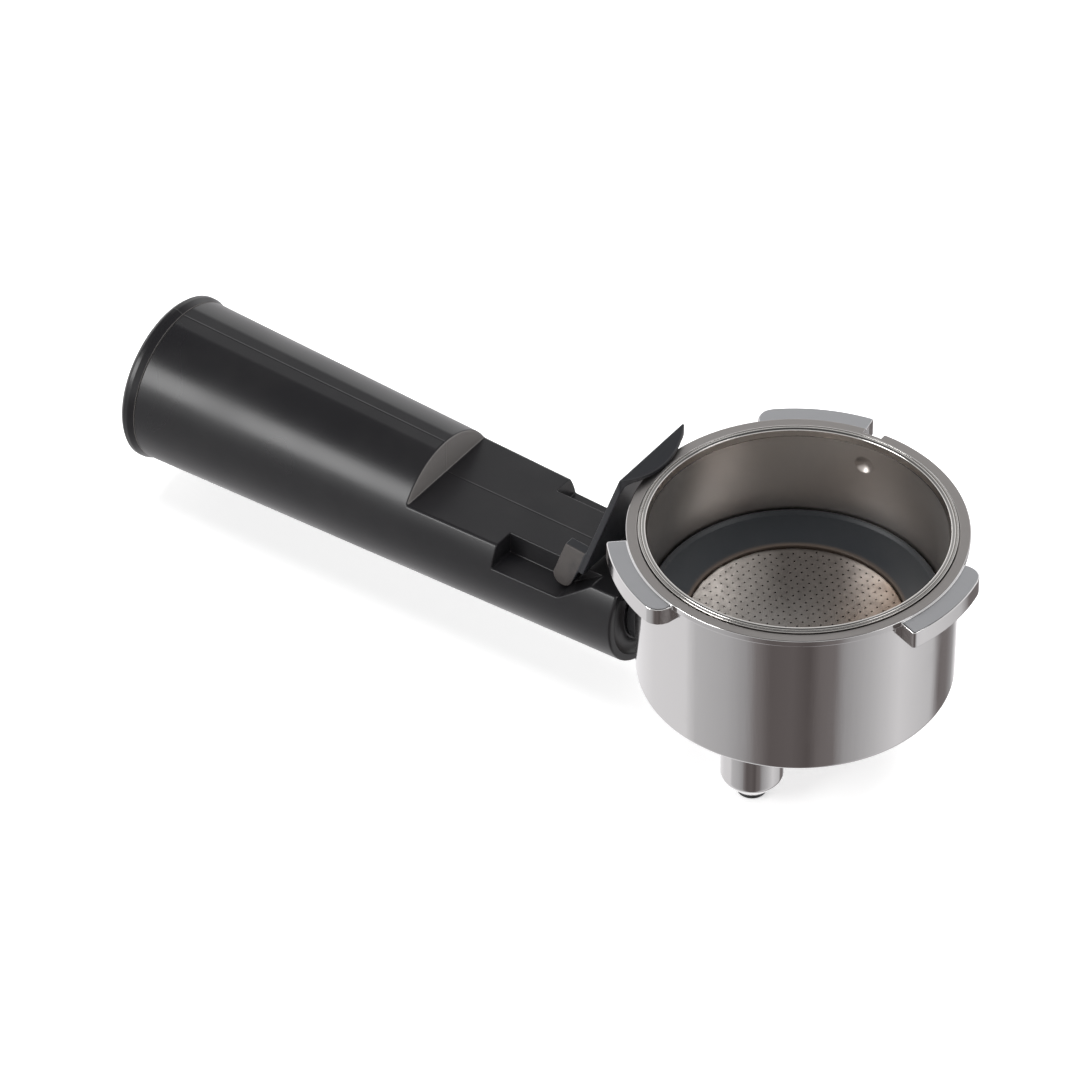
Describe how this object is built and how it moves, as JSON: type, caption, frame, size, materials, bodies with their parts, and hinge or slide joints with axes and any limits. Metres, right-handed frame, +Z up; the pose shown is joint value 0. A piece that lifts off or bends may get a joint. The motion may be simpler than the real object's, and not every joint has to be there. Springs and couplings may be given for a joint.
{
  "type": "espresso portafilter",
  "caption": "Espresso machine filter holder: cast cup with bayonet lugs, lift-out basket, twin spouts, tapered handle and fold-back clamp lever.",
  "frame": {"origin": "centre of the filter screen's top face, on the cup's axis", "axes": "+Z up along the cup's axis, the handle runs along -X, the two spouts stand at +Y and -Y"},
  "size_m": [0.1685, 0.0648, 0.0527],
  "materials": {
    "polished_aluminium": "polished casting with fine polishing scratches, lug tops left satin",
    "satin_steel": "satin pressed stainless steel with a brighter rolled bead",
    "screen_steel": "satin perforated stainless steel, lightly stained",
    "dark_ring": "dark blue-grey moulded ring, satin",
    "black_plastic": "satin black moulded plastic",
    "handle_plastic": "matt black moulded plastic with a fine grain",
    "lever_plastic": "satin black, slightly worn on the ears",
    "black_rubber": "matt black rubber",
    "zinc_steel": "zinc plated steel"
  },
  "bodies": {
    "holder": {"holder_casting": "polished_aluminium", "spout_block": "polished_aluminium", "outlet_plate": "black_plastic", "outlet_seal": "black_rubber", "outlet_screw_left": "zinc_steel", "outlet_screw_right": "zinc_steel", "spout_gasket": "black_rubber", "nozzle_left": "black_plastic", "nozzle_right": "black_plastic", "neck_collar": "black_plastic", "handle_body": "handle_plastic", "handle_end_cap": "handle_plastic", "tie_bolt": "zinc_steel", "flat_washer": "zinc_steel", "spring_washer": "zinc_steel", "lever_pin": "zinc_steel"},
    "basket": {"filter_basket": "satin_steel", "basket_ring": "dark_ring", "filter_screen": "screen_steel"},
    "lever": {"clamp_lever": "lever_plastic"}
  },
  "joints": [
    {"name": "lever_hinge", "type": "hinge", "parent": "holder", "child": "lever", "pos_m": [-0.0426, 0, -0.005], "axis": [0, -1, 0], "range_deg": [0, 109]},
    {"name": "basket_lift", "type": "slide", "parent": "holder", "child": "basket", "axis": [0, 0, 1], "range_m": [0, 0.035]}
  ]
}
